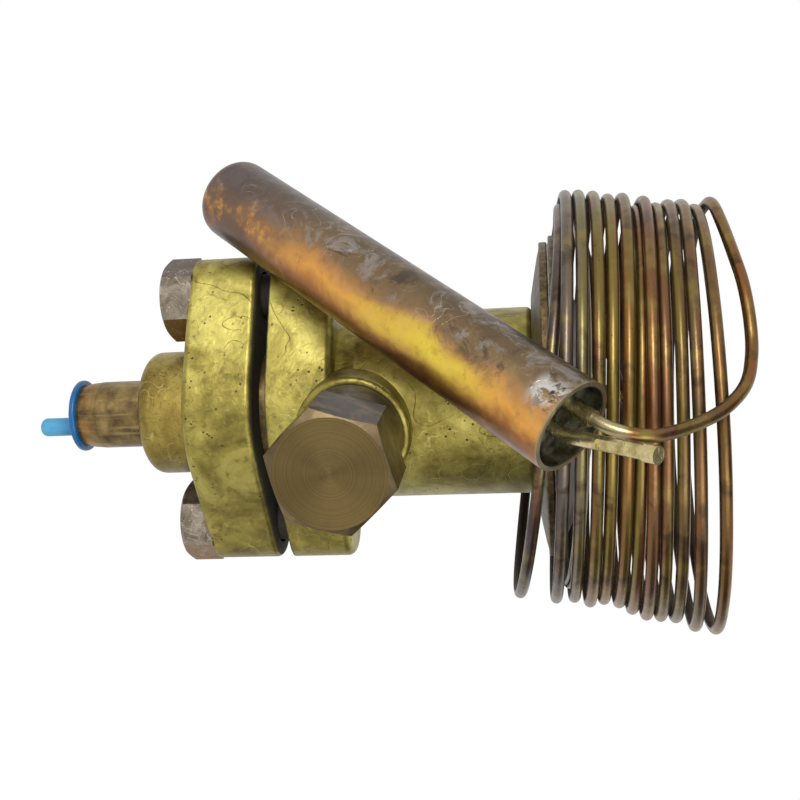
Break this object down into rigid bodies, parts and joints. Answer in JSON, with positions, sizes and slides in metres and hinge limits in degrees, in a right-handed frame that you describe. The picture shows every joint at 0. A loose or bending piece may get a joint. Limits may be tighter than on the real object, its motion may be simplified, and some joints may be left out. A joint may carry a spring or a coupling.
{
  "type": "thermostatic expansion valve",
  "caption": "Brass expansion valve with a bolted outlet flange, hexagonal seal cap, coiled copper capillary and a sensing bulb beside it",
  "frame": {"origin": "centre of the outlet nozzle's mouth", "axes": "+Z along the valve's axis from the outlet towards the power element, -Y along the adjusting stem towards the seal cap"},
  "size_m": [0.1062, 0.1162, 0.1555],
  "materials": {
    "cast_brass": "cast, worn",
    "nozzle_metal": "drawn, worn",
    "copper": "heat tinted",
    "bolt_steel": "tarnished",
    "steel": "satin",
    "case_sheet": "tarnished",
    "gasket": "matt",
    "plug_plastic": "satin"
  },
  "bodies": {
    "body": {"valve_body": "cast_brass", "outlet_flange": "cast_brass", "outlet_nozzle": "nozzle_metal", "collar_gasket": "gasket", "flange_bolts": "bolt_steel", "inlet_nozzle": "nozzle_metal", "inlet_strainer": "steel", "orifice_cage": "steel", "stem_packing": "gasket", "packing_nut": "cast_brass", "lower_case": "case_sheet", "diaphragm": "steel", "upper_case": "case_sheet", "head_fitting": "copper", "capillary_tube": "copper", "bulb_shell": "copper", "bulb_plug": "copper", "bulb_ferrule": "copper", "charge_tube": "copper"},
    "plug": {"outlet_plug": "plug_plastic"},
    "stem": {"adjusting_stem": "steel"},
    "wedge": {"adjusting_wedge": "steel"},
    "seat": {"spring_seat": "cast_brass", "superheat_spring": "steel"},
    "stroke": {"pin_carrier": "cast_brass", "valve_pin": "steel", "push_rods": "steel", "buffer_plate": "cast_brass"},
    "cap_ring": {"cap_gasket": "gasket"},
    "cap": {"seal_cap": "cast_brass"}
  },
  "joints": [
    {"name": "plug_pull", "type": "slide", "parent": "body", "child": "plug", "axis": [0, 0, -1], "range_m": [0, 0.025]},
    {"name": "cap_travel", "type": "slide", "parent": "body", "child": "cap_ring", "axis": [0, -1, 0], "range_m": [0, 0.0105]},
    {"name": "cap_turn", "type": "hinge", "parent": "cap_ring", "child": "cap", "pos_m": [0, -0.04, 0.0655], "axis": [0, -1, 0], "range_deg": [0, 2520]},
    {"name": "stem_turn", "type": "hinge", "parent": "body", "child": "stem", "pos_m": [0, -0.03, 0.0655], "axis": [0, -1, 0], "range_deg": [-1080, 1080]},
    {"name": "wedge_slide", "type": "slide", "parent": "body", "child": "wedge", "axis": [0, 1, 0], "range_m": [-0.003, 0.003]},
    {"name": "seat_lift", "type": "slide", "parent": "body", "child": "seat", "axis": [0, 0, -1], "range_m": [-0.00045, 0.00045]},
    {"name": "valve_stroke", "type": "slide", "parent": "body", "child": "stroke", "axis": [0, 0, -1], "range_m": [0, 0.0009], "stiffness_N_per_m": 2000, "springref_m": -0.0005, "deforming": ["superheat_spring"]}
  ],
  "couplings": [
    {"joint": "cap_travel", "follows": "cap_turn", "m_per_rad": 0.00023873},
    {"joint": "stem_turn", "follows": "wedge_slide", "rad_per_m": 6283.2},
    {"joint": "seat_lift", "follows": "wedge_slide", "ratio": 0.15}
  ]
}
